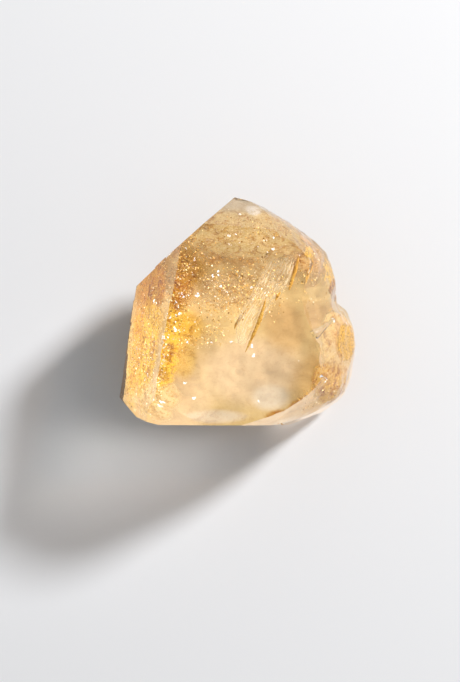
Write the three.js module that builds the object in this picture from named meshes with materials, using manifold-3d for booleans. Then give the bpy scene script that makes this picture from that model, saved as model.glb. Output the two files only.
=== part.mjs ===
// A quartz crystal point lying on one of its prism faces, as one solid.
//
// The long axis lies level and points to +Y, leaning a little to +X. The left side keeps the
// faces that it grew: an upper and a lower prism face and an upper and a lower tip face, which
// meet in an edge about half way up and climb to the point. The point itself is closed by one
// small face above and one long face below. The foot is sawn across and bevelled at its left
// corner. The whole right side is broken, with shell-shaped scoops, a notch and a low heel.
//
// Frame: millimetres, +Z up, origin at the middle of the footprint, on the table.

import * as THREE from "three";
import { mergeVertices } from "three/addons/utils/BufferGeometryUtils.js";
import Module from "manifold-3d";

const wasm = await Module();
wasm.setup();

// ---------------------------------------------------------------- driving dimensions

const thickness = 38.5; // from the prism face that it lies on to the one on top
const girdle = 19.5; // height of the edge between the upper and the lower prism face
const pointLevel = 29; // height of the very tip
const blockSide = 130; // of the rough block that everything is cut from

// How far a face leans in from upright, in degrees. Prism faces meet at 120 degrees, so on a
// crystal that lies on one of them the next ones lean by 30.
const prismLean = 30;

// Corners of the outline seen from above, [x, y].
const corner = {
  tip: [-1.2, 31.6],
  leftShoulder: [-28.4, 7.6],
  leftFoot: [-33.3, -23.3],
  bevelMiddle: [-27.6, -29.3],
  bevelEnd: [-19.2, -31.5],
  baseEnd: [15.0, -31.7],
};

// The outline's straight sides, anticlockwise. Each carries a face above its widest edge and
// one below it. levels are the edge's height at its two ends, leans are how far the two faces
// lean in, in degrees.
const sides = [
  { from: "tip", to: "leftShoulder", levels: [pointLevel, girdle], leans: [1.5, 26] },
  { from: "leftShoulder", to: "leftFoot", levels: [girdle, girdle], leans: [prismLean, prismLean] },
  { from: "leftFoot", to: "bevelMiddle", levels: [girdle, 26], leans: [34, 8] },
  { from: "bevelMiddle", to: "bevelEnd", levels: [30, 32], leans: [46, 4] },
  { from: "bevelEnd", to: "baseEnd", levels: [13, 11], leans: [2, 6] },
];

// Faces that run clear of the outline: a point on each, the way it faces seen from above in
// degrees from +X, and how far its normal rises.
const looseFaces = [
  { name: "prism face on top", at: [0, 0, thickness], azimuth: 228, rise: 88 },
  { name: "tip face on top", at: [-0.6, 23.4, thickness], azimuth: 86, rise: 38.2 },
  { name: "tip face below", at: [-1.0, 31.6, pointLevel - 0.8], azimuth: 79, rise: -43.5 },
];

// ---------------------------------------------------------------- small helpers

const radians = THREE.MathUtils.degToRad;

function directionOf(azimuth, rise) {
  return new THREE.Vector3(
    Math.cos(radians(rise)) * Math.cos(radians(azimuth)),
    Math.cos(radians(rise)) * Math.sin(radians(azimuth)),
    Math.sin(radians(rise)),
  );
}

// Repeatable numbers from 0 to 1.
function sequence(seed) {
  let state = seed;
  return () => {
    state = (state * 1664525 + 1013904223) % 4294967296;
    return state / 4294967296;
  };
}

function solidFrom(geometry) {
  const bare = geometry.clone();
  bare.deleteAttribute("normal");
  bare.deleteAttribute("uv");
  const merged = mergeVertices(bare, 1e-4);
  return new wasm.Manifold(
    new wasm.Mesh({
      numProp: 3,
      vertProperties: new Float32Array(merged.attributes.position.array),
      triVerts: new Uint32Array(merged.index.array),
    }),
  );
}

function geometryFrom(solid) {
  const mesh = solid.getMesh();
  const geometry = new THREE.BufferGeometry();
  geometry.setAttribute("position", new THREE.BufferAttribute(mesh.vertProperties, 3));
  geometry.setIndex(new THREE.BufferAttribute(mesh.triVerts, 1));
  geometry.computeVertexNormals();
  return geometry;
}

// Keeps what lies behind a face: point is on it and outward is its normal.
function cutBehind(solid, point, outward) {
  const inward = outward.clone().negate();
  return solid.trimByPlane(inward.toArray(), inward.dot(point));
}

// ---------------------------------------------------------------- grown and sawn faces

// The start of a side's edge, the way it runs, and the normals of its upper and lower face.
// Both faces turn about the edge, so the outline stays where the corners put it.
function facesOf(side) {
  const start = new THREE.Vector3(...corner[side.from], side.levels[0]);
  const end = new THREE.Vector3(...corner[side.to], side.levels[1]);
  const along = end.clone().sub(start).normalize();
  const outward = new THREE.Vector3(along.y, -along.x, 0).normalize();
  const upward = outward.clone().cross(along);
  const tilts = [radians(side.leans[0]), radians(-side.leans[1])];
  const faces = tilts.map((tilt) =>
    outward.clone().multiplyScalar(Math.cos(tilt)).addScaledVector(upward, Math.sin(tilt)),
  );
  return { start, along, faces };
}

function cutSide(solid, side) {
  const { start, faces } = facesOf(side);
  return faces.reduce((cut, outward) => cutBehind(cut, start, outward), solid);
}

function makeFacetedBody() {
  const block = new THREE.BoxGeometry(blockSide, blockSide, blockSide);
  block.translate(0, 0, blockSide / 2); // its underside is the prism face that the crystal lies on
  const sided = sides.reduce(cutSide, solidFrom(block));
  return looseFaces.reduce(
    (solid, face) =>
      cutBehind(solid, new THREE.Vector3(...face.at), directionOf(face.azimuth, face.rise)),
    sided,
  );
}

// ---------------------------------------------------------------- broken side

// The break runs clockwise from beyond the tip to beyond the foot. at is the outline there,
// level the height where the break stands out furthest, and top and foot how far it draws in
// by the top face and by the table.
const breakStations = [
  { at: [-16, 38], level: 26, top: 3, foot: 4 },
  { at: [-1.4, 31.9], level: 27, top: 3, foot: 6 },
  { at: [4.0, 30.3], level: 26, top: 3.5, foot: 6 },
  { at: [10.9, 26.8], level: 23, top: 4, foot: 7 },
  { at: [19.0, 21.6], level: 21, top: 4.5, foot: 6 },
  { at: [24.4, 16.6], level: 20, top: 5.5, foot: 5 },
  { at: [27.2, 9.0], level: 19, top: 9, foot: 5 },
  { at: [28.4, 3.2], level: 17, top: 10.5, foot: 5 },
  { at: [30.5, 0.8], level: 15, top: 11.5, foot: 5 },
  { at: [32.9, -6.4], level: 13, top: 11, foot: 4 },
  { at: [32.9, -14.0], level: 11, top: 10.5, foot: 3 },
  { at: [31.5, -22.2], level: 8, top: 9.5, foot: 2 },
  { at: [25.6, -27.4], level: 7, top: 8, foot: 1.5 },
  { at: [14.0, -31.9], level: 9, top: 5, foot: 1.5 },
  { at: [-8, -37], level: 10, top: 4, foot: 1 },
];
const breakCell = 1.15; // size of the sheet's facets
const breakBack = -60; // how far left the broken block reaches
const breakOver = 6; // how far it stands past the table and the top face

// How late the break draws in on its way to the top face and to the table: 1 is straight, and
// a higher power keeps it upright for longer and then rounds it over.
const shoulderPower = 2.3;
const footPower = 1.5;

// Shell-shaped scoops: how many, and the span of their widths and depths.
const scoopCount = 120;
const scoopWide = [4.5, 21];
const scoopDeep = [0.25, 1.5];

// Ripples that spread from the two blows that broke the side: [along, up] and spacing.
const blows = [
  { at: [44, 40], spacing: 5.2, height: 0.05 },
  { at: [78, 6], spacing: 4.4, height: 0.05 },
];

const spanned = ([low, high], part) => low + (high - low) * part;

function makeScoops(length, height) {
  const next = sequence(20);
  return Array.from({ length: scoopCount }, () => {
    const size = next() ** 1.6;
    const wide = spanned(scoopWide, size);
    const deep = spanned(scoopDeep, size) * (0.6 + 0.4 * next());
    return { along: next() * length, up: next() * height, wide, deep };
  });
}

const calmTip = [22, 38]; // the break is nearly smooth before the first and rough after the second

// How far the sheet stands off the smooth break, in millimetres, below zero for hollows.
function reliefAt(along, up, scoops) {
  const rough = 0.15 + 0.85 * THREE.MathUtils.smoothstep(along, ...calmTip);
  const hollow = scoops.reduce((deepest, scoop) => {
    const away = Math.hypot(along - scoop.along, (up - scoop.up) * 1.25) / (scoop.wide / 2);
    return Math.min(deepest, scoop.deep * (away * away - 1));
  }, 0);
  const ripple = blows.reduce((sum, blow) => {
    const away = Math.hypot(along - blow.at[0], up - blow.at[1]);
    return sum + blow.height * Math.cos((2 * Math.PI * away) / blow.spacing);
  }, 0);
  return rough * (hollow + ripple);
}

// How far the break draws in at height z between its widest level and either end.
function drawnIn(station, z) {
  const above = (z - station.level) / (thickness - station.level);
  const below = (station.level - z) / station.level;
  return above > 0
    ? station.top * above ** shoulderPower
    : station.foot * below ** footPower;
}

function makeBrokenBlock() {
  const plan = new THREE.CatmullRomCurve3(
    breakStations.map((station) => new THREE.Vector3(...station.at, 0)),
    false,
    "centripetal",
  );
  const swell = new THREE.CatmullRomCurve3(
    breakStations.map(({ level, top, foot }) => new THREE.Vector3(level, top, foot)),
    false,
    "centripetal",
  );
  const length = plan.getLength();
  const height = thickness + 2 * breakOver;
  const scoops = makeScoops(length, height);
  const columns = Math.round(length / breakCell);
  const rows = Math.round(height / breakCell);
  const block = new THREE.BoxGeometry(1, 1, 1, 1, columns, rows);
  block.deleteAttribute("normal");
  block.deleteAttribute("uv");
  const sheet = mergeVertices(block, 1e-5);
  const place = sheet.attributes.position;
  for (let i = 0; i < place.count; i++) {
    const part = 0.5 - place.getY(i);
    const z = (place.getZ(i) + 0.5) * height - breakOver;
    const middle = plan.getPoint(part);
    if (place.getX(i) < 0) {
      place.setXYZ(i, breakBack, middle.y * 1.5, z);
      continue;
    }
    const along = plan.getTangent(part);
    const outward = new THREE.Vector3(-along.y, along.x, 0).normalize();
    const shape = swell.getPoint(part);
    const station = { level: shape.x, top: shape.y, foot: shape.z };
    const stand = reliefAt(part * length, z + breakOver, scoops) - drawnIn(station, z);
    place.setXYZ(i, middle.x + outward.x * stand, middle.y + outward.y * stand, z);
  }
  return solidFrom(sheet);
}

// ---------------------------------------------------------------- chips and ledges

// Bites out of the edges: middle and radius of the round that each was struck from, and how
// much flatter than a ball it is.
const chips = [
  { name: "notch", at: [34.0, 4.6, 22], radius: 5.6, flat: [1, 0.8, 1.6] },
  { name: "upper rim chip", at: [32.4, 0.2, 24], radius: 3.2, flat: [1, 1, 1.2] },
  { name: "lower rim chip", at: [33.8, -3.2, 22], radius: 3.0, flat: [1, 1, 1.1] },
  { name: "flank scar", at: [35.2, -8.6, 24], radius: 4.6, flat: [0.8, 1.1, 1.3] },
  { name: "shoulder chip", at: [21.4, 23.4, 33], radius: 3.4, flat: [1.2, 1, 1] },
  { name: "heel lip", at: [15.0, -32.4, 41.5], radius: 6.8, flat: [1.5, 1, 1] },
  { name: "foot nick", at: [1.0, -34.6, 40.8], radius: 5.0, flat: [1.7, 1, 1] },
  { name: "corner nick", at: [-33.2, -32.6, 8], radius: 7.4, flat: [1, 1, 1.3] },
];

function cutChip(solid, chip) {
  const round = new THREE.IcosahedronGeometry(chip.radius, 7);
  round.scale(...chip.flat);
  round.translate(...chip.at);
  return solid.subtract(solidFrom(round));
}

// Growth left low steps across the two left faces. side is the side that carries it, face is
// +1 above the edge or -1 below it, from and to are where it starts and ends along the edge,
// slant is how far it turns from square to the edge, and deep is the height of the step.
const ledges = [
  { side: 1, face: 1, from: 19.5, to: 60, slant: 3, deep: 0.2 },
  { side: 1, face: 1, from: 24.5, to: 60, slant: -2, deep: 0.35 },
  { side: 1, face: 1, from: -20, to: 4.2, slant: 4, deep: 0.25 },
  { side: 1, face: -1, from: 11, to: 60, slant: -3, deep: 0.3 },
  { side: 0, face: 1, from: -20, to: 8.5, slant: -38, deep: 0.3 },
  { side: 0, face: 1, from: 24, to: 60, slant: -38, deep: 0.25 },
];
const ledgeSpan = 80; // how far a ledge runs up and down its face

function cutLedge(solid, ledge) {
  const { start, along, faces } = facesOf(sides[ledge.side]);
  const outward = faces[ledge.face > 0 ? 0 : 1];
  const length = ledge.to - ledge.from;
  const slab = new THREE.BoxGeometry(length, ledgeSpan, ledgeSpan);
  slab.translate(length / 2, 0, ledgeSpan / 2 - ledge.deep);
  slab.rotateZ(radians(ledge.slant));
  slab.translate(ledge.from, 0, 0);
  const frame = new THREE.Matrix4().makeBasis(along, outward.clone().cross(along), outward);
  return solid.subtract(solidFrom(slab.applyMatrix4(frame.setPosition(start))));
}

// Puts the middle of the footprint over the origin.
function centreFootprint(geometry) {
  geometry.computeBoundingBox();
  const middle = geometry.boundingBox.getCenter(new THREE.Vector3());
  return geometry.translate(-middle.x, -middle.y, 0);
}

const material = new THREE.MeshStandardMaterial({
  color: "#e8c07a",
  roughness: 0.12,
  metalness: 0,
  transparent: true,
  opacity: 0.6,
});

function makeCrystalPoint() {
  const grown = ledges.reduce(cutLedge, makeFacetedBody());
  const broken = chips.reduce(cutChip, grown.intersect(makeBrokenBlock()));
  const mesh = new THREE.Mesh(centreFootprint(geometryFrom(broken)), material);
  mesh.name = "crystal_point";
  return mesh;
}

const crystal = new THREE.Group();
crystal.add(makeCrystalPoint());
export default crystal;
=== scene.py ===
import math
import random

import bmesh
import bpy
from mathutils import Matrix, Vector, noise
from mathutils.bvhtree import BVHTree


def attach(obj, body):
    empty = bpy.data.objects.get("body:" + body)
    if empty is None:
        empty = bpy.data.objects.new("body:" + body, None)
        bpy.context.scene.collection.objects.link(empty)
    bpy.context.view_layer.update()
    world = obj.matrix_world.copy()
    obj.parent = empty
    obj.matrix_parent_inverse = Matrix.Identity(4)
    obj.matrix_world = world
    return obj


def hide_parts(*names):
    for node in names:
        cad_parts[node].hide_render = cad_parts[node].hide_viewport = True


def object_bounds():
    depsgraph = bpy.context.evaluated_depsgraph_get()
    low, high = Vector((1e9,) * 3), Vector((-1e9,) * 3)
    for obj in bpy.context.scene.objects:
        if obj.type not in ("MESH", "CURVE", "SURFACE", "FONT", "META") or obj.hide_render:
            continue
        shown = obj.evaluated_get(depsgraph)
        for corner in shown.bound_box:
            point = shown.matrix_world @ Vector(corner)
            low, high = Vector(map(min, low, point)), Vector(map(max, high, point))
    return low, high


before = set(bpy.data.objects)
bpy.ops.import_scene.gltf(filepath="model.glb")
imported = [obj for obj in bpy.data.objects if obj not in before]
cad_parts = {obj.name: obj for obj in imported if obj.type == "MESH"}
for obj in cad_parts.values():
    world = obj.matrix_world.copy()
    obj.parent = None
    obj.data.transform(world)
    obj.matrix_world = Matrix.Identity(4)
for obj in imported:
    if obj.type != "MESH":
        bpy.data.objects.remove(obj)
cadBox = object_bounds()
mm = 0.001  # lengths in the dictionaries are in millimetres, with the origin of the frame


# Small helpers

def fromHex(code):
    # sRGB hex to the linear colour that the shaders use
    parts = [int(code[i:i + 2], 16) / 255 for i in (1, 3, 5)]
    linear = [p / 12.92 if p <= 0.04045 else ((p + 0.055) / 1.055) ** 2.4 for p in parts]
    return (*linear, 1.0)


def addNode(tree, kind, inputs=None, **settings):
    node = tree.nodes.new("ShaderNode" + kind)
    for name, value in settings.items():
        setattr(node, name, value)
    for name, value in (inputs or {}).items():
        if isinstance(value, bpy.types.NodeSocket):
            tree.links.new(value, node.inputs[name])
        else:
            node.inputs[name].default_value = value
    return node


def addRamp(tree, value, stops):
    ramp = addNode(tree, "ValToRGB", {"Fac": value})
    while len(ramp.color_ramp.elements) < len(stops):
        ramp.color_ramp.elements.new(1.0)
    for element, (place, code) in zip(ramp.color_ramp.elements, stops):
        element.position = place
        element.color = fromHex(code)
    return ramp.outputs["Color"]


def newMaterial(name):
    material = bpy.data.materials.new(name)
    material.use_nodes = True
    material.node_tree.nodes.clear()
    return material, material.node_tree


def addPiece(name, points, faces, material, **perPoint):
    # points in millimetres become a piece that rides on the crystal's body
    mesh = bpy.data.meshes.new(name)
    mesh.from_pydata([Vector(p) * mm for p in points], [], faces)
    mesh.materials.append(material)
    for layerName, values in perPoint.items():
        mesh.attributes.new(layerName, "FLOAT", "POINT").data.foreach_set("value", values)
    piece = bpy.data.objects.new(name, mesh)
    bpy.context.scene.collection.objects.link(piece)
    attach(piece, "root")
    return piece


def smoothStep(low, high, value):
    t = min(max((value - low) / (high - low), 0.0), 1.0)
    return t * t * (3 - 2 * t)


def blend(low, high, part):
    return low + (high - low) * part


def patchAt(patch, x, y):
    # 1 in the middle of an oval patch, fading to 0 at its rim
    turn = math.radians(patch.get("turn", 0))
    dx, dy = x - patch["at"][0], y - patch["at"][1]
    across = (dx * math.cos(turn) + dy * math.sin(turn)) / patch["reach"][0]
    along = (dy * math.cos(turn) - dx * math.sin(turn)) / patch["reach"][1]
    return 1 - smoothStep(0.35, 1.25, math.hypot(across, along))


def fractalNoise(point, scale, octaves=3):
    # fractal noise about 0, with features of the given size in millimetres
    return noise.fractal(Vector(point) / scale, 1.0, 2.0, octaves)


# Stage, light and camera

stage = {
    "floorSize": 6.0,  # metres
    "floorColour": "#f6f6f6",
    "domeStrength": 0.31,
    "domeColour": "#f4f7fb",
    "keyAzimuth": 40.0,  # degrees from +X
    "keyElevation": 31.0,
    "keyDistance": 1.4,  # metres
    "keySize": 0.22,  # metres, small enough for a shadow with a clear edge
    "keyPower": 24.3,  # watts
    "keyColour": "#fffeff",
}

view = {
    "frameHeight": 682,  # pixels, the long side
    "millimetresPerPixel": 0.28,
    "lens": 100.0,
    "sensor": 36.0,  # the long side
    "aim": (-2.24, -7.84, 18.0),  # at the height where the crystal is widest
}


def setStage():
    bpy.ops.mesh.primitive_plane_add(size=stage["floorSize"])
    floor = bpy.context.object
    floor.name = "floor"
    # Uncoated paper: matt and even, so that it shows the shadow and no reflection.
    material, tree = newMaterial("mattePaperSweep")
    shader = addNode(tree, "BsdfPrincipled", {
        "Base Color": fromHex(stage["floorColour"]), "Roughness": 0.9, "Specular IOR Level": 0.1})
    addNode(tree, "OutputMaterial", {"Surface": shader.outputs[0]})
    floor.data.materials.append(material)

    world = bpy.data.worlds.new("dome")
    world.use_nodes = True
    dome = world.node_tree.nodes["Background"]
    dome.inputs["Color"].default_value = fromHex(stage["domeColour"])
    dome.inputs["Strength"].default_value = stage["domeStrength"]
    bpy.context.scene.world = world

    lamp = bpy.data.lights.new("key", "AREA")
    lamp.shape = "DISK"
    lamp.size = stage["keySize"]
    lamp.energy = stage["keyPower"]
    lamp.color = fromHex(stage["keyColour"])[:3]
    key = bpy.data.objects.new("key", lamp)
    key.location = keyDirection() * stage["keyDistance"]
    key.rotation_euler = keyDirection().to_track_quat("Z", "Y").to_euler()
    bpy.context.scene.collection.objects.link(key)


def keyDirection():
    turn, rise = math.radians(stage["keyAzimuth"]), math.radians(stage["keyElevation"])
    return Vector((math.cos(turn) * math.cos(rise), math.sin(turn) * math.cos(rise), math.sin(rise)))


def setCamera():
    lens = bpy.data.cameras.new("above")
    lens.lens = view["lens"]
    lens.sensor_width = view["sensor"]
    camera = bpy.data.objects.new("above", lens)
    seen = view["frameHeight"] * view["millimetresPerPixel"]
    x, y, z = view["aim"]
    camera.location = Vector((x, y, z + seen * view["lens"] / view["sensor"])) * mm
    bpy.context.scene.collection.objects.link(camera)
    bpy.context.scene.camera = camera


def setLightPaths():
    scene = bpy.context.scene
    scene.view_settings.view_transform = "Standard"
    scene.cycles.max_bounces = 24
    scene.cycles.transmission_bounces = 20
    scene.cycles.transparent_max_bounces = 64
    scene.cycles.sample_clamp_indirect = 10.0
    scene.cycles.caustics_refractive = True
    scene.cycles.caustics_reflective = False


# The crystal itself

quartz = {
    "grownFaceArea": 9.0,  # square millimetres; a larger facet was grown or sawn, not broken
    "honey": "#ffeccb",  # what is left of white light
    "honeyDensity": 8.0,  # per metre
    "shade": "#5e5040",  # of the light that reaches the table through the stone
    "gloss": 0.02,
    "etched": {"at": (-6, 14, 30), "reach": (34, 24, 60)},  # where the grown faces are etched
    "etchGrain": 0.9,
    "etchDepth": 0.035,
    "rippleLong": 3.2,  # shell ripples of the break
    "rippleHigh": 0.11,
    "hackle": 0.8,
    "hackleHigh": 0.035,
    "weld": 0.01,
    "flatWithin": 0.3,  # degrees
    "sharpFrom": 30,  # degrees
}


def makeQuartzMaterial():
    # Macrocrystalline quartz, as grown and partly broken: glass-clear with a vitreous gloss.
    # Shadow rays pass straight on, so that the lamp reaches what lies inside.
    material, tree = newMaterial("clearQuartzGrown")
    place = addNode(tree, "TexCoord").outputs["Object"]
    middle, reach = quartz["etched"]["at"], quartz["etched"]["reach"]
    zone = addNode(tree, "Mapping", {
        "Vector": place, "Scale": [1 / (r * mm) for r in reach],
        "Location": [-a / r for a, r in zip(middle, reach)]})
    etched = addNode(tree, "TexGradient", {"Vector": zone.outputs[0]}, gradient_type="QUADRATIC_SPHERE")
    grain = addNode(tree, "TexNoise", {
        "Vector": place, "Scale": 1 / (quartz["etchGrain"] * mm), "Detail": 3.0, "Distortion": 0.8})
    etching = addNode(tree, "Bump", {
        "Strength": etched.outputs["Fac"], "Height": grain.outputs[0],
        "Distance": quartz["etchDepth"] * mm})
    shader = addNode(tree, "BsdfPrincipled", {
        "Base Color": (1, 1, 1, 1), "Roughness": quartz["gloss"], "IOR": 1.544,
        "Transmission Weight": 1.0, "Normal": etching.outputs[0]})
    side = addNode(tree, "NewGeometry")
    ray = addNode(tree, "LightPath")
    passed = addNode(tree, "Mix", {0: side.outputs["Backfacing"], 6: fromHex(quartz["shade"]),
                                   7: (1, 1, 1, 1)}, data_type="RGBA")
    passing = addNode(tree, "BsdfTransparent", {"Color": passed.outputs[2]})
    mixed = addNode(tree, "MixShader", {0: ray.outputs["Is Shadow Ray"], 1: shader.outputs[0],
                                        2: passing.outputs[0]})
    honey = addNode(tree, "VolumeAbsorption", {
        "Color": fromHex(quartz["honey"]), "Density": quartz["honeyDensity"]})
    addNode(tree, "OutputMaterial", {"Surface": mixed.outputs[0], "Volume": honey.outputs[0]})
    return material


def makeCrystal():
    form = bmesh.new()
    form.from_mesh(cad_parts["crystal_point"].data)
    bmesh.ops.remove_doubles(form, verts=form.verts, dist=quartz["weld"] * mm)
    bmesh.ops.dissolve_limit(form, angle_limit=math.radians(quartz["flatWithin"]), verts=form.verts,
                             edges=form.edges)
    limit = quartz["grownFaceArea"] * mm ** 2
    broken = [face for face in form.faces if face.calc_area() < limit]
    bmesh.ops.triangulate(form, faces=broken)
    broken = [face for face in form.faces if face.calc_area() < limit]
    edges = list({edge for face in broken for edge in face.edges})
    bmesh.ops.subdivide_edges(form, edges=edges, cuts=1, use_grid_fill=True)
    form.normal_update()
    for point in form.verts:
        if all(face.calc_area() < limit for face in point.link_faces):
            place = point.co / mm
            ripple = quartz["rippleHigh"] * fractalNoise(place, quartz["rippleLong"], 2)
            hackle = quartz["hackleHigh"] * fractalNoise(place, quartz["hackle"], 2)
            point.co += point.normal * (ripple + hackle) * mm
    mesh = bpy.data.meshes.new("crystal")
    form.to_mesh(mesh)
    form.free()
    crystal = bpy.data.objects.new("crystal", mesh)
    bpy.context.scene.collection.objects.link(crystal)
    mesh.materials.append(makeQuartzMaterial())
    mesh.set_sharp_from_angle(angle=math.radians(quartz["sharpFrom"]))
    for face in mesh.polygons:
        face.use_smooth = face.area < limit
    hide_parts("crystal_point")
    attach(crystal, "root")
    return crystal


class Skin:
    # answers where the crystal's surface is
    def __init__(self, crystal):
        form = bmesh.new()
        form.from_mesh(crystal.data)
        bmesh.ops.triangulate(form, faces=form.faces)
        self.tree = BVHTree.FromBMesh(form)
        form.free()

    def depth(self, point):
        # how far a point lies under the nearest face, below zero outside
        place = Vector(point) * mm
        spot, normal, _, away = self.tree.find_nearest(place)
        return away / mm * (1 if (place - spot).dot(normal) < 0 else -1)

    def holds(self, point, clear=0.0):
        # true inside the stone: most rays leave through a face seen from behind
        place = Vector(point) * mm
        leaving = 0
        for way in ((0.03, 0.02, 1), (0.02, -0.03, -1), (0.8, 0.6, 0.05), (-0.6, 0.8, -0.04),
                    (-0.7, -0.7, 0.06)):
            spot, normal, _, _ = self.tree.ray_cast(place, Vector(way))
            leaving += spot is not None and normal.dot(Vector(way)) > 0
        return leaving >= 4 and abs(self.depth(point)) >= clear

    def under(self, start, way, lift):
        # the point that lies lift under the face that is met from start
        spot, normal, _, _ = self.tree.ray_cast(Vector(start) * mm, way)
        return None if spot is None else (spot / mm - normal * lift, normal)


def gridFaces(index):
    # joins the neighbours of a sparse grid, index[i, j] being a point's number
    faces = []
    for i, j in index:
        ring = [(i, j), (i + 1, j), (i + 1, j + 1), (i, j + 1)]
        if all(spot in index for spot in ring):
            faces.append([index[spot] for spot in ring])
    return faces


# Golden flakes

flakes = {
    "count": 9500,
    "size": (0.16, 0.62),
    "seed": 7,
    "clear": 0.5,  # kept free under the surface
    # plan zones: how thickly they are sown, how dark their flakes are, and how near the faces
    "zones": [
        {"at": (-17, 8), "reach": (15, 9), "turn": 40, "amount": 0.6, "tone": 0.5},
        {"at": (5, 19), "reach": (15, 6), "turn": -8, "amount": 0.75, "tone": 0.34},
        {"at": (-2, 6), "reach": (16, 10), "amount": 0.42, "tone": 0.58},
        {"at": (-26, -10), "reach": (7.5, 22), "turn": -8, "amount": 1.0, "tone": 0.66, "near": 2.6},
        {"at": (-19, 10), "reach": (14, 6), "turn": 42, "amount": 0.8, "tone": 0.35, "near": 3.0},
        {"at": (20, -24), "reach": (9, 4), "turn": 35, "amount": 0.5, "tone": 0.5, "near": 2.4},
        {"at": (-17, -5), "reach": (14, 6), "amount": 0.5, "tone": 0.72},
        {"at": (22, 8), "reach": (6, 13), "turn": 15, "amount": 0.22, "tone": 0.5},
    ],
    # healed cracks that hold most of them: height at the origin and slopes along X and Y
    "sheets": [(30, 0.12, 0.10), (22, -0.10, 0.18), (14, 0.06, -0.12), (34.5, 0.02, -0.05)],
    "spread": 1.1,
    "strays": 0.35,  # share of them that lies further off
    "strayBy": 4,
    "clump": 5,
    "lean": (0.35, 0.3),  # along X and Y, for an upward 1
    "leanSpread": 0.45,
    "toneSpread": 0.3,
    "outline": ((-1, -0.3), (0.1, -0.8), (1, 0.1), (-0.2, 0.9)),
}


def makeFlakeMaterial():
    # Goethite platelets grown with the quartz: thin, golden to brown, with a satin glint.
    material, tree = newMaterial("goethitePlatelets")
    tone = addNode(tree, "Attribute", attribute_name="tone")
    stops = ((0.0, "#8a5a1c"), (0.3, "#c28a35"), (0.6, "#e6b04a"), (0.82, "#f8d684"), (1.0, "#fff2d0"))
    shader = addNode(tree, "BsdfPrincipled", {
        "Base Color": addRamp(tree, tone.outputs["Fac"], stops), "Roughness": 0.4,
        "Metallic": 0.15})
    addNode(tree, "OutputMaterial", {"Surface": shader.outputs[0]})
    return material


def makeFlakes(skin):
    pick = random.Random(flakes["seed"])
    points, faces, tones = [], [], []
    low, high = [corner / mm for corner in cadBox]
    while len(faces) < flakes["count"]:
        x, y = pick.uniform(low.x, high.x), pick.uniform(low.y, high.y)
        shares = [zone["amount"] * patchAt(zone, x, y) for zone in flakes["zones"]]
        thick = max(shares)
        clump = 0.65 + 0.7 * fractalNoise((x, y, 3), flakes["clump"])
        if pick.random() > thick * clump:
            continue
        rise, slopeX, slopeY = pick.choice(flakes["sheets"])
        z = rise + slopeX * x + slopeY * y + 2.5 * fractalNoise((x, y, rise), 12)
        z += pick.gauss(0, flakes["spread"]) * (flakes["strayBy"] if pick.random() < flakes["strays"] else 1)
        zone = flakes["zones"][shares.index(thick)]
        if "near" in zone:
            met = skin.under((x, y, 60), Vector((0, 0, -1)), 0)
            if met is None:
                continue
            z = met[0].z - pick.uniform(0.7, zone["near"]) / max(met[1].z, 0.3)
        if not skin.holds((x, y, z), flakes["clear"]):
            continue
        size = blend(*flakes["size"], pick.random() ** 2.2)
        lay = Vector([pick.gauss(lean, flakes["leanSpread"]) for lean in flakes["lean"]] + [1]).normalized()
        side = lay.orthogonal().normalized()
        side.rotate(Matrix.Rotation(pick.uniform(0, 2 * math.pi), 3, lay))
        other = lay.cross(side)
        start = len(points)
        for a, b in flakes["outline"]:
            points.append(Vector((x, y, z)) + (side * a + other * b) * size / 2)
        faces.append((start, start + 1, start + 2, start + 3))
        tones += [min(max(pick.gauss(zone["tone"], flakes["toneSpread"]), 0), 1)] * 4
    piece = addPiece("golden_flakes", points, faces, makeFlakeMaterial(), tone=tones)
    piece.visible_shadow = False  # real ones are far smaller and pass light between them
    return piece


# The face that the crystal lies on, ground matt, which shows pale through the stone

groundFace = {
    "lift": 0.12,
    "cell": 0.4,
    "pale": "#fff0da",
    "patches": [  # stains on it, each [colour, strength]
        {"at": (-27, -14), "reach": (11, 24), "turn": -8, "colour": "#ffc24a", "amount": 0.8},
        {"at": (15, -4), "reach": (7, 12), "turn": 10, "colour": "#dcae66", "amount": 0.7},
        {"at": (-8, 2), "reach": (22, 8), "colour": "#e0a54a", "amount": 0.7},
    ],
}


def makeGroundFace(skin):
    # Quartz ground flat with coarse grit: white and matt, like frosted glass, and stained by iron.
    material, tree = newMaterial("frostedQuartzGround")
    tint = addNode(tree, "Attribute", attribute_name="tint")
    shader = addNode(tree, "BsdfPrincipled", {
        "Base Color": tint.outputs["Color"], "Roughness": 0.8})
    addNode(tree, "OutputMaterial", {"Surface": shader.outputs[0]})
    cell = groundFace["cell"]
    low, high = [corner / mm for corner in cadBox]
    index, points, tints = {}, [], []
    for i in range(int((high.x - low.x) / cell) + 1):
        for j in range(int((high.y - low.y) / cell) + 1):
            place = (low.x + i * cell, low.y + j * cell, groundFace["lift"])
            if skin.depth(place) > groundFace["lift"] * 0.8 and skin.holds((*place[:2], 1.0)):
                index[i, j] = len(points)
                points.append(place)
                colour = Vector(fromHex(groundFace["pale"])[:3])
                for patch in groundFace["patches"]:
                    share = patch["amount"] * patchAt(patch, place[0], place[1])
                    colour = colour.lerp(Vector(fromHex(patch["colour"])[:3]), share)
                tints.append((*colour, 1.0))
    piece = addPiece("ground_face", points, gridFaces(index), material)
    layer = piece.data.color_attributes.new("tint", "FLOAT_COLOR", "POINT")
    layer.data.foreach_set("color", [part for tint in tints for part in tint])
    return piece


# Veils: healed cracks through the inside, clouded gold by iron and bubbles, with painted light and shade in
# some patches

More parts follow.
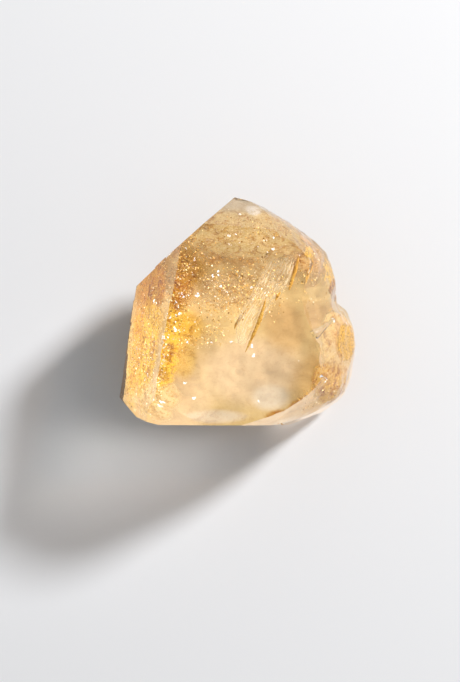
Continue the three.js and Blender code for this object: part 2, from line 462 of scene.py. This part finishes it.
veil = {
    "cell": 0.36,
    "clear": 0.16,  # kept under the faces
    "mottle": 2.2,
    "speckle": 0.6,
    # pale specks in the veils: bubbles, brightened into painted sparkle
    "bubbleSparkle": 0.36,
    "curl": 1.7,  # fingerprint lines of tiny bubbles
    "curlTurns": 46.0,
    "relief": 0.12,
    "bubbleSparkleColour": "#ffe9bc",
    "faintest": 0.03,  # a cover below this is left out
    "rimCover": 0.1,
    "bendRound": 5,  # how gently a sheet turns up
    "mostRaised": 1.5,
    "tipSide": 0.3,  # the faces round the tip lean further towards Y than this
}

# plane gives the height at the origin and the slopes along X and Y, wave its height and length,
# bends where the sheet turns up: which way in plan, how far out and by what slope. The thin ones
# near the top cast no shadow, since real ones pass light on.
# Patches lie in plan: how much they hide, their colour, and how coarse their grain shows.
veils = {
    "main_veil": {
        "plane": (12.3, -0.02, -0.05), "wave": (0.5, 11),
        "bends": [((-1, 0), 17, 0.45), ((1, 0), 15, 0.22), ((0, 1), 8, 0.3)],
        "patches": [
            {"at": (0, 0), "reach": (90, 90), "amount": 0.75, "colour": "#efd396", "grain": 0.1},
            # iron gold, darkened further as painted shade from the sheets above
            {"at": (-18, 9), "reach": (16, 9), "turn": 38, "amount": 1.0, "colour": "#cc9614",
             "grain": 1.0},
            {"at": (-2, 16), "reach": (15, 4), "amount": 1.0, "colour": "#dcb880", "grain": 0.8},
            {"at": (-2, 7), "reach": (14, 8), "amount": 0.95, "colour": "#d2b47e", "grain": 0.8},
            {"at": (9, 13), "reach": (12, 8), "amount": 0.95, "colour": "#ffe6b2", "grain": 0.7},
            # iron yellow, painted paler as the light that gathers in the lower left, palest at the rim
            {"at": (-19, -4), "reach": (13, 8), "amount": 1.0, "colour": "#fcd434", "grain": 0.95},
            {"at": (-25, -14), "reach": (8, 14), "turn": -8, "amount": 1.0, "colour": "#ffe25c",
             "grain": 1.0},
            {"at": (-15, -12), "reach": (5, 10), "amount": 0.95, "colour": "#fcdd82", "grain": 0.7},
            {"at": (-29.5, -12), "reach": (3.2, 14), "turn": -8, "amount": 1.0,
             "colour": "#fff2a8", "grain": 0.9},
            {"at": (-15, -23), "reach": (13, 10), "amount": 0.95, "colour": "#f3dbb4", "grain": 0.15},
            {"at": (4, -16), "reach": (22, 14), "amount": 0.95, "colour": "#f2dab8", "grain": 0.12},
            # darker tan beside the broken side: painted shade
            {"at": (13, -4), "reach": (8, 11), "turn": 8, "amount": 0.95, "colour": "#e8c286",
             "grain": 0.12},
            {"at": (22, -19), "reach": (11, 11), "amount": 0.95, "colour": "#f2cb84", "grain": 0.14},
            {"at": (24, 4), "reach": (7, 15), "amount": 0.95, "colour": "#f6d590", "grain": 0.4},
            {"at": (-27, -19), "reach": (2.4, 2.2), "amount": 1.0, "colour": "#c08824", "grain": 1.0},
            {"at": (11, -28.4), "reach": (4.6, 2.2), "turn": 10, "amount": 1.0,
             "colour": "#d09428", "grain": 1.0},
            {"at": (9, -23), "reach": (7, 5), "amount": 1.25, "colour": "#fff2da", "grain": 0.1},
            {"at": (-7, -28.6), "reach": (12, 2.4), "amount": 1.25, "colour": "#fff0d8", "grain": 0.25},
            {"at": (2, -29.6), "reach": (8, 1.6), "amount": 0.5, "colour": "#ecc878", "grain": 1.0},
            {"at": (17.2, -25), "reach": (5.6, 2), "turn": 32, "amount": 1.0,
             "colour": "#cc8e2c", "grain": 1.0},
            {"at": (21.6, -18.6), "reach": (1.8, 6.5), "turn": -4, "amount": 1.0,
             "colour": "#e0b05a", "grain": 1.0},
            {"at": (25, -12), "reach": (2, 6), "turn": 10, "amount": 1.0,
             "colour": "#e0aa44", "grain": 1.0},
        ]},
    "left_veil": {
        "shades": False,
        "plane": (14.5, -0.45, -0.03), "wave": (0.5, 9),
        "patches": [
            # iron yellow, painted paler as the light that gathers in the lower left
            {"at": (-22, -8), "reach": (7, 20), "turn": -6, "amount": 1.0, "colour": "#ffda4c",
             "grain": 1.0},
            # iron gold, darkened further as painted shade from the sheets above
            {"at": (-20, 6), "reach": (8, 8), "turn": 30, "amount": 1.0, "colour": "#c48c0a", "grain": 1.0},
            {"at": (-21, -23), "reach": (6, 5), "amount": 0.8, "colour": "#f2d8a4", "grain": 0.6},
            {"at": (-23, -0.5), "reach": (3.2, 2.4), "turn": 30, "amount": 1.0,
             "colour": "#ba8220", "grain": 1.0},
            {"at": (-19.4, -11), "reach": (2.4, 5), "turn": -12, "amount": 1.0,
             "colour": "#bc8422", "grain": 1.0},
            {"at": (-20.6, -17), "reach": (2.2, 2.8), "amount": 1.0, "colour": "#cc942c", "grain": 1.0},
        ]},
    "tip_veil": {
        "shades": False,
        "plane": (48.4, -0.05, -0.7), "wave": (0.5, 9),
        "patches": [
            # greyish brown clouding, darkened further as painted shade of the tip's underside
            {"at": (0, 29), "reach": (14, 6), "amount": 0.7, "colour": "#ac9a80", "grain": 0.2},
            {"at": (4, 26.5), "reach": (3, 2.4), "turn": -20, "amount": 0.8, "colour": "#cfc8c2",
             "grain": 0.5},
            # greyish brown clouding, darkened further as painted shade of the tip's underside
            {"at": (2, 21), "reach": (23, 8), "turn": -6, "amount": 0.8, "colour": "#bb9f6c", "grain": 0.7},
        ]},
    "bevel_veil": {
        "shades": False,
        "plane": (28.0, 0.0, 0.0), "wave": (0.4, 8),
        "patches": [
            {"at": (20, 15.5), "reach": (8, 6), "turn": -42, "amount": 0.8, "colour": "#dcb67e",
             "grain": 0.9},
        ]},
    "right_veil": {  # follows the broken side
        "shades": False,
        "plane": (78.0, -1.9, 0.0), "wave": (0.6, 8),
        "bends": [((0, -1), 19, -1.0)],
        "patches": [
            {"at": (27, -8), "reach": (6, 14), "amount": 0.95, "colour": "#ccae78", "grain": 0.7},
            {"at": (25, -19), "reach": (6, 7), "amount": 1.0, "colour": "#c49a4a", "grain": 1.0},
            {"at": (27, -8.5), "reach": (2.2, 4.6), "turn": 8, "amount": 1.0,
             "colour": "#c29c12", "grain": 0.6},
            {"at": (28.3, -11.3), "reach": (0.7, 0.9), "amount": 1.2, "colour": "#4a3410", "grain": 0.3},
        ]},
    "cloud_veil": {
        "plane": (31.0, -0.06, -0.1), "wave": (0.8, 9),
        "patches": [
            {"at": (-5, 6), "reach": (12, 7), "turn": 20, "amount": 0.25, "colour": "#ffe6bf",
             "grain": 0.9},
        ]},
}


def makeVeilMaterial():
    # Healed cracks full of bubbles and iron specks: matt, golden and finely speckled, with pale specks
    # brightened as painted sparkle.
    material, tree = newMaterial("healedVeilSpeckled")
    place = addNode(tree, "TexCoord").outputs["Object"]
    cover = addNode(tree, "Attribute", attribute_name="cover").outputs["Fac"]
    grain = addNode(tree, "Attribute", attribute_name="grain").outputs["Fac"]
    tint = addNode(tree, "Attribute", attribute_name="tint").outputs["Color"]
    noises = {}
    drawn = addNode(tree, "Mapping", {  # drawn out along the way the cracks opened
        "Vector": place, "Rotation": (0, 0, -0.7), "Scale": (0.85, 1.15, 1.0)}).outputs[0]
    for name, detail in (("mottle", 6.0), ("speckle", 3.0), ("bubbleSparkle", 2.0), ("curl", 1.5)):
        noises[name] = addNode(tree, "TexNoise", {
            "Vector": drawn, "Scale": 1 / (veil[name] * mm), "Detail": detail, "Roughness": 0.65,
            "Distortion": 0.8}).outputs[0]
    uneven = addNode(tree, "Math", {0: noises["mottle"], 1: 0.5}, operation="SUBTRACT")
    patchy = addNode(tree, "Math", {0: grain, 1: 0.5, 2: 0.15}, operation="MULTIPLY_ADD")
    thick = addNode(tree, "Math", {0: uneven.outputs[0], 1: patchy.outputs[0], 2: cover},
                    operation="MULTIPLY_ADD")
    alpha = addNode(tree, "MapRange", {0: thick.outputs[0], 1: 0.05, 2: 0.75},
                    interpolation_type="SMOOTHSTEP")
    clouds = addRamp(tree, noises["mottle"], (
        (0.34, "#a0701a"), (0.43, "#dcb058"), (0.51, "#fff6dc"), (1.0, "#ffffff")))
    specks = addRamp(tree, noises["speckle"], (
        (0.30, "#bf9352"), (0.41, "#ecd8ac"), (0.50, "#ffffff"), (1.0, "#ffffff")))
    colour = tint
    for layer in (clouds, specks):
        colour = addNode(tree, "Mix", {0: grain, 6: colour, 7: layer}, data_type="RGBA",
                         blend_type="MULTIPLY").outputs[2]
    turns = addNode(tree, "Math", {0: noises["curl"], 1: veil["curlTurns"]}, operation="MULTIPLY")
    wave = addNode(tree, "Math", {0: turns.outputs[0]}, operation="SINE")
    line = addNode(tree, "MapRange", {0: wave.outputs[0], 1: 0.1, 2: 0.9, 4: 0.6})
    lines = addNode(tree, "Math", {0: line.outputs[0], 1: grain}, operation="MULTIPLY")
    pale = addNode(tree, "Mix", {0: 0.12, 6: tint, 7: (1, 1, 1, 1)}, data_type="RGBA").outputs[2]
    colour = addNode(tree, "Mix", {0: lines.outputs[0], 6: colour, 7: pale},
                     data_type="RGBA").outputs[2]
    # pale specks of bubbles, brightened as painted sparkle
    bright = addNode(tree, "MapRange", {0: noises["bubbleSparkle"], 1: 0.62, 2: 0.72, 4: 0.7})
    sparse = addNode(tree, "Math", {0: bright.outputs[0], 1: grain}, operation="MULTIPLY")
    colour = addNode(tree, "Mix", {0: sparse.outputs[0], 6: colour, 7: fromHex(veil["bubbleSparkleColour"])},
                     data_type="RGBA").outputs[2]
    relief = addNode(tree, "Bump", {
        "Strength": grain, "Distance": veil["relief"] * mm, "Height": noises["speckle"]})
    shader = addNode(tree, "BsdfPrincipled", {
        "Base Color": colour, "Roughness": 0.6, "Specular IOR Level": 0.1, "Alpha": alpha.outputs[0],
        "Normal": relief.outputs[0]})
    addNode(tree, "OutputMaterial", {"Surface": shader.outputs[0]})
    return material


def makeVeils(skin):
    material = makeVeilMaterial()
    low, high = [corner / mm for corner in cadBox]
    cell, clear = veil["cell"], veil["clear"]
    for name, sheet in veils.items():
        index, points, covers, grains, tints = {}, [], [], [], []
        rise, slopeX, slopeY = sheet["plane"]
        waveHigh, waveLong = sheet["wave"]
        patches = sheet["patches"]
        colours = [fromHex(patch["colour"]) for patch in patches]
        for i in range(int((high.x - low.x) / cell)):
            for j in range(int((high.y - low.y) / cell)):
                x, y = low.x + i * cell, low.y + j * cell
                shares = [patch["amount"] * patchAt(patch, x, y) for patch in patches]
                base = skin.under((x, y, -20), Vector((0, 0, 1)), clear)
                if max(shares) < veil["faintest"] or base is None:
                    continue
                z = rise + slopeX * x + slopeY * y + waveHigh * fractalNoise((x, y, rise), waveLong)
                for way, start, slope in sheet.get("bends", ()):
                    past = way[0] * x + way[1] * y - start
                    z += slope * (past + math.hypot(past, veil["bendRound"])) / 2
                raised = base[0].z + clear - z
                if raised > veil["mostRaised"] and base[1].y > veil["tipSide"]:  # dark there
                    continue
                z += max(raised, 0)
                if not skin.holds((x, y, z), clear * 0.6):
                    continue
                index[i, j] = len(points)
                points.append((x, y, z))
                covers.append(max(shares))
                weights = [share ** 5 for share in shares]
                total = sum(weights)
                grains.append(sum(w * patch["grain"] for w, patch in zip(weights, patches)) / total)
                tints += [sum(w * c[k] for w, c in zip(weights, colours)) / total
                          for k in range(3)] + [1.0]
        for i, j in index:
            if any((i + a, j + b) not in index for a in (-1, 0, 1) for b in (-1, 0, 1)):
                covers[index[i, j]] = veil["rimCover"]  # thins out at the rim
        piece = addPiece(name, points, gridFaces(index), material, cover=covers, grain=grains)
        layer = piece.data.color_attributes.new("tint", "FLOAT_COLOR", "POINT")
        layer.data.foreach_set("color", tints)
        piece.visible_shadow = sheet.get("shades", True)


# Iron stains in skins just under the faces

stain = {
    "cell": 0.45,
    "lift": 0.25,
    "mottle": 2.6,
    "grain": 0.5,
    "reach": 45,  # searched this far each way from the middle
    "faintest": 0.05,
}

# where each skin lies: the way it is looked for from outside, and its patches in the frame
stainSkins = {
    "broken_side_stain": {"from": (0.3, -0.1, 1), "patches": [
        {"at": (29.4, -8.2, 20), "reach": (3.4, 5.6, 20), "amount": 1.7, "tone": 0.42},
        {"at": (30.0, -11.0, 20), "reach": (0.9, 1.1, 20), "amount": 1.0, "tone": 0.05},
        {"at": (26.6, 6.2, 24), "reach": (2.4, 3.6, 20), "amount": 1.2, "tone": 0.28},
        {"at": (25.0, 12, 26), "reach": (2.6, 7, 20), "amount": 0.45, "tone": 0.45},
        {"at": (19, 16, 36), "reach": (2, 2.6, 9), "amount": 0.45, "tone": 0.45},
    ]},
}


def makeStainMaterial():
    # Limonite and iron oxide soaked into healed skins: earthy, matt, yellow through to brown.
    material, tree = newMaterial("limoniteSkin")
    place = addNode(tree, "TexCoord").outputs["Object"]
    cover = addNode(tree, "Attribute", attribute_name="cover").outputs["Fac"]
    tone = addNode(tree, "Attribute", attribute_name="tone").outputs["Fac"]
    mottle = addNode(tree, "TexNoise", {
        "Vector": place, "Scale": 1 / (stain["mottle"] * mm), "Detail": 5.0, "Roughness": 0.7,
        "Distortion": 0.8})
    uneven = addNode(tree, "Math", {0: mottle.outputs[0], 1: 0.5}, operation="SUBTRACT")
    thick = addNode(tree, "Math", {0: uneven.outputs[0], 1: 3.6, 2: cover}, operation="MULTIPLY_ADD")
    alpha = addNode(tree, "MapRange", {0: thick.outputs[0], 1: 0.12, 2: 0.62},
                    interpolation_type="SMOOTHSTEP")
    grain = addNode(tree, "TexNoise", {
        "Vector": place, "Scale": 1 / (stain["grain"] * mm), "Detail": 2.0})
    shift = addNode(tree, "Math", {0: grain.outputs[0], 1: 0.5}, operation="SUBTRACT")
    shade = addNode(tree, "Math", {0: shift.outputs[0], 1: 0.9, 2: tone}, operation="MULTIPLY_ADD")
    stops = ((0.0, "#3a1c08"), (0.25, "#8a5010"), (0.45, "#d2a004"), (0.62, "#dcb04c"), (0.9, "#e6d09c"))
    colour = addRamp(tree, shade.outputs[0], stops)
    matt = addNode(tree, "BsdfPrincipled", {"Base Color": colour, "Roughness": 0.65})
    through = addNode(tree, "BsdfTranslucent", {"Color": colour})
    lit = addNode(tree, "MixShader", {0: 0.15, 1: matt.outputs[0], 2: through.outputs[0]})
    clear = addNode(tree, "BsdfTransparent")
    shader = addNode(tree, "MixShader", {0: alpha.outputs[0], 1: clear.outputs[0], 2: lit.outputs[0]})
    addNode(tree, "OutputMaterial", {"Surface": shader.outputs[0]})
    return material


def solidPatchAt(patch, point):
    away = Vector([(p - a) / r for p, a, r in zip(point, patch["at"], patch["reach"])]).length
    return 1 - smoothStep(0.4, 1.1, away)


def makeStains(skin):
    material = makeStainMaterial()
    cell = stain["cell"]
    for name, film in stainSkins.items():
        outward = Vector(film["from"]).normalized()
        side = Vector((0, 0, 1)).cross(outward).normalized()
        other = outward.cross(side)
        index, points, covers, tones = {}, [], [], []
        steps = int(stain["reach"] / cell)
        for i in range(-steps, steps + 1):
            for j in range(-steps, steps + 1):
                start = Vector((0, 0, 19)) + outward * 80 + side * i * cell + other * j * cell
                met = skin.under(start, -outward, stain["lift"])
                if met is None or met[1].dot(outward) < 0.2 or not skin.holds(met[0], 0.1):
                    continue
                shares = [patch["amount"] * solidPatchAt(patch, met[0]) for patch in film["patches"]]
                cover = max(shares)
                if cover < stain["faintest"]:
                    continue
                index[i, j] = len(points)
                points.append(met[0])
                covers.append(cover)
                tones.append(film["patches"][shares.index(cover)]["tone"])
        faces = [face for face in gridFaces(index)
                 if all((points[face[k]] - points[face[k - 1]]).length < cell * 3 for k in range(4))]
        piece = addPiece(name, points, faces, material, cover=covers, tone=tones)
        piece.visible_shadow = False  # real ones are thin enough to let the light in


# The healed crack, a pale feather with golden seams, and white glints

crack = {
    # its run in plan from the upper right to the lower left, with half widths
    "run": [((18.6, 17.6), 1.2), ((13.2, 15.4), 3.6), ((10.4, 9.6), 4.2), ((6.4, 3.2), 3.6),
            ((2.6, -2.6), 3.4), ((0.6, -8.6), 1.4)],
    "high": 32.0,
    "low": 28.0,
    "pale": "#fae2b8",
    "lengthSteps": 70,
    "widthSteps": 16,
    "clear": 0.3,
}

seam = {
    "grain": 0.5,
    "rings": 26,
    "sides": 8,
    "flatness": 0.5,  # how high against how wide
}

seams = [  # golden seams: run in plan, height, greatest width
    {"run": [(7.6, 4.0), (6.4, -0.6), (4.4, -5.6), (2.0, -10.8)], "z": 30.0, "wide": 1.05},
    {"run": [(3.4, 1.6), (1.4, -0.6), (-0.4, -3.0), (-0.9, -4.6)], "z": 29.0, "wide": 0.8},
    {"run": [(16.6, 15.6), (15.8, 12.2), (14.6, 8.4), (13.9, 6.0)], "z": 29.0, "wide": 1.1},
    {"run": [(11.6, 5.6), (10.8, 4.6), (10.2, 3.2)], "z": 30.5, "wide": 0.8},
    {"run": [(10.2, -28.2), (11.4, -29.6), (12.2, -31.0)], "z": 27.0, "wide": 0.7},
]

glints = {
    "spots": [  # in plan, and how large
        (0.3, 17.9, 0.7), (-2.2, 18.2, 0.6), (-10.9, 4.8, 1.3), (-24.4, 2.8, 1.2), (-16, -0.8, 0.9),
        (-20.4, -4.8, 1.2), (-17.4, -4.5, 0.9), (-7, 10, 0.8), (9.5, 17.1, 0.8), (-2, -8.1, 0.7),
        (3.9, -9.2, 0.8), (4.2, -11.8, 0.9), (-14.5, -19.3, 0.8), (-12.3, -23.2, 0.9),
        (5.6, -24.4, 0.6), (16.5, -13.4, 0.5), (-5, 7, 0.6), (0.6, 27.6, 0.8), (-27, -18, 1.0),
        (-22, -26.5, 1.1), (-28.4, -10, 0.8), (30, 1.4, 1.0), (28.6, -1.8, 1.3), (30.4, -3.2, 0.9),
        (28.4, 3.6, 0.7), (29.4, 0.2, 0.6), (31.0, -1.2, 0.7), (27.4, 5.2, 0.5), (30.6, -4.6, 0.6),
    ],
    "scattered": 150,
    "size": (0.2, 0.75),
    "depth": (0.8, 5),
    "clear": 0.6,
    "shatteredFrom": 0.5,  # a larger one is a group of shards
    "seed": 31,
}


def makeCrackMaterial():
    # A crack healed with tiny trapped bubbles: milky white, streaked along the way it opened.
    material, tree = newMaterial("healedCrackMilky")
    along = addNode(tree, "Attribute", attribute_name="along").outputs["Fac"]
    across = addNode(tree, "Attribute", attribute_name="across").outputs["Fac"]
    place = addNode(tree, "CombineXYZ", {0: along, 1: across})
    streaks = addNode(tree, "Mapping", {"Vector": place.outputs[0], "Scale": (2.0, 11.0, 1.0)})
    lines = addNode(tree, "TexNoise", {
        "Vector": streaks.outputs[0], "Scale": 1.0, "Detail": 4.0, "Roughness": 0.7})
    alpha = addNode(tree, "MapRange", {0: lines.outputs[0], 1: 0.42, 2: 0.66, 3: 0.05, 4: 0.9},
                    interpolation_type="SMOOTHSTEP")
    rim = addNode(tree, "Attribute", attribute_name="cover").outputs["Fac"]
    faded = addNode(tree, "Math", {0: alpha.outputs[0], 1: rim}, operation="MULTIPLY")
    shader = addNode(tree, "BsdfPrincipled", {
        "Base Color": fromHex(crack["pale"]), "Roughness": 0.45, "Alpha": faded.outputs[0]})
    addNode(tree, "OutputMaterial", {"Surface": shader.outputs[0]})
    return material


def alongRun(run, part):
    # a point of a smooth run through the given ones
    spot = part * (len(run) - 1)
    k = min(int(spot), len(run) - 2)
    t = spot - k
    before, start, end, after = (Vector(run[min(max(k + d, 0), len(run) - 1)]) for d in (-1, 0, 1, 2))
    return 0.5 * (2 * start + (end - before) * t + (2 * before - 5 * start + 4 * end - after) * t ** 2
                  + (3 * start - before - 3 * end + after) * t ** 3)


def makeCrack(skin):
    run = [(x, y, half) for (x, y), half in crack["run"]]
    index, points, covers, alongs, acrosses = {}, [], [], [], []
    lengthSteps, widthSteps = crack["lengthSteps"], crack["widthSteps"]
    for i in range(lengthSteps + 1):
        part = i / lengthSteps
        x, y, half = alongRun(run, part)
        ahead = alongRun(run, min(part + 0.01, 1)) - alongRun(run, max(part - 0.01, 0))
        way = Vector((ahead.y, -ahead.x)).normalized()
        for j in range(widthSteps + 1):
            t = 2 * j / widthSteps - 1
            sink = blend(crack["low"], crack["high"], (t + 1) / 2) + 0.8 * math.sin(part * 9 + t * 2)
            point = Vector((x + way.x * t * half, y + way.y * t * half, sink))
            if not skin.holds(point, crack["clear"]):
                continue
            index[i, j] = len(points)
            points.append(point)
            covers.append(1 - smoothStep(0.75, 1.0, abs(t)))
            alongs.append(part * 6)
            acrosses.append(t)
    addPiece("feather_crack", points, gridFaces(index), makeCrackMaterial(), cover=covers,
             along=alongs, across=acrosses)


def makeSeams():
    # Golden iron seams that filled thin gaps: opaque, silky, darker at the middle.
    material, tree = newMaterial("ironSeamSilky")
    place = addNode(tree, "TexCoord").outputs["Object"]
    grain = addNode(tree, "TexNoise", {"Vector": place, "Scale": 1 / (seam["grain"] * mm), "Detail": 3.0})
    stops = ((0.3, "#b87a16"), (0.5, "#dca236"), (0.7, "#f4cc6a"))
    shader = addNode(tree, "BsdfPrincipled", {
        "Base Color": addRamp(tree, grain.outputs[0], stops), "Roughness": 0.5})
    addNode(tree, "OutputMaterial", {"Surface": shader.outputs[0]})
    points, faces = [], []
    rings, sides = seam["rings"], seam["sides"]
    for line in seams:
        run = [(x, y, line["z"]) for x, y in line["run"]]
        first = len(points)
        for i in range(rings + 1):
            part = i / rings
            middle = alongRun(run, part)
            ahead = alongRun(run, min(part + 0.01, 1)) - alongRun(run, max(part - 0.01, 0))
            way = Vector((ahead.y, -ahead.x, 0)).normalized()
            half = line["wide"] / 2 * math.sin(math.pi * min(max(part, 0.02), 0.98)) ** 0.8
            half *= 1 + 0.35 * fractalNoise(middle, 1.3, 2)
            for k in range(sides):
                turn = 2 * math.pi * k / sides
                points.append(middle + way * half * math.cos(turn)
                              + Vector((0, 0, half * seam["flatness"] * math.sin(turn))))
        for i in range(rings):
            for k in range(sides):
                a, b = first + i * sides + k, first + i * sides + (k + 1) % sides
                faces.append((a, b, b + sides, a + sides))
        faces.append([first + k for k in range(sides)][::-1])
        faces.append([first + rings * sides + k for k in range(sides)])
    addPiece("golden_seams", points, faces, material)


def makeGlints(skin):
    # Air-filled cracks a hair wide, turned to the lamp: bright white specks whose white colour paints in the
    # glint that real ones mirror.
    material, tree = newMaterial("airCrackBright")
    shader = addNode(tree, "BsdfPrincipled", {"Base Color": fromHex("#ffffff"), "Roughness": 0.3})
    addNode(tree, "OutputMaterial", {"Surface": shader.outputs[0]})
    pick = random.Random(glints["seed"])
    spots = list(glints["spots"])
    while len(spots) < len(glints["spots"]) + glints["scattered"]:
        x, y = pick.uniform(-30, 24), pick.uniform(-24, 26)
        if pick.random() < max(zone["amount"] * patchAt(zone, x, y) for zone in flakes["zones"]):
            spots.append((x, y, blend(*glints["size"], pick.random() ** 3)))
    points, faces = [], []
    for x, y, size in spots:
        met = skin.under((x, y, 60), Vector((0, 0, -1)), pick.uniform(*glints["depth"]))
        if met is None or not skin.holds(met[0], glints["clear"]):
            continue
        for shard in range(pick.choice((2, 3, 4)) if size > glints["shatteredFrom"] else 1):
            lay = keyDirection() + Vector((0, 0, 0.8)) + Vector([pick.gauss(0, 0.25) for _ in range(3)])
            lay.normalize()
            side = lay.orthogonal().normalized()
            side.rotate(Matrix.Rotation(pick.uniform(0, 2 * math.pi), 3, lay))
            other = lay.cross(side)
            middle = met[0] + Vector([pick.gauss(0, 0.3) for _ in range(3)]) * size
            corners = pick.choice((3, 4, 5))
            slim = pick.uniform(0.25, 0.8)
            start = len(points)
            for k in range(corners):
                turn = 2 * math.pi * (k + pick.uniform(-0.3, 0.3)) / corners
                points.append(middle + (side * math.cos(turn) + other * math.sin(turn) * slim)
                              * size * pick.uniform(0.3, 0.6))
            faces.append(list(range(start, start + corners)))
    addPiece("white_glints", points, faces, material)


setStage()
setCamera()
setLightPaths()
crystal = makeCrystal()
skin = Skin(crystal)
print("crystal made")
makeGroundFace(skin)
print("ground face made")
makeFlakes(skin)
print("flakes made")
makeVeils(skin)
print("veils made")
makeStains(skin)
print("stains made")
makeCrack(skin)
makeSeams()
makeGlints(skin)
print("crack, seams and glints made")
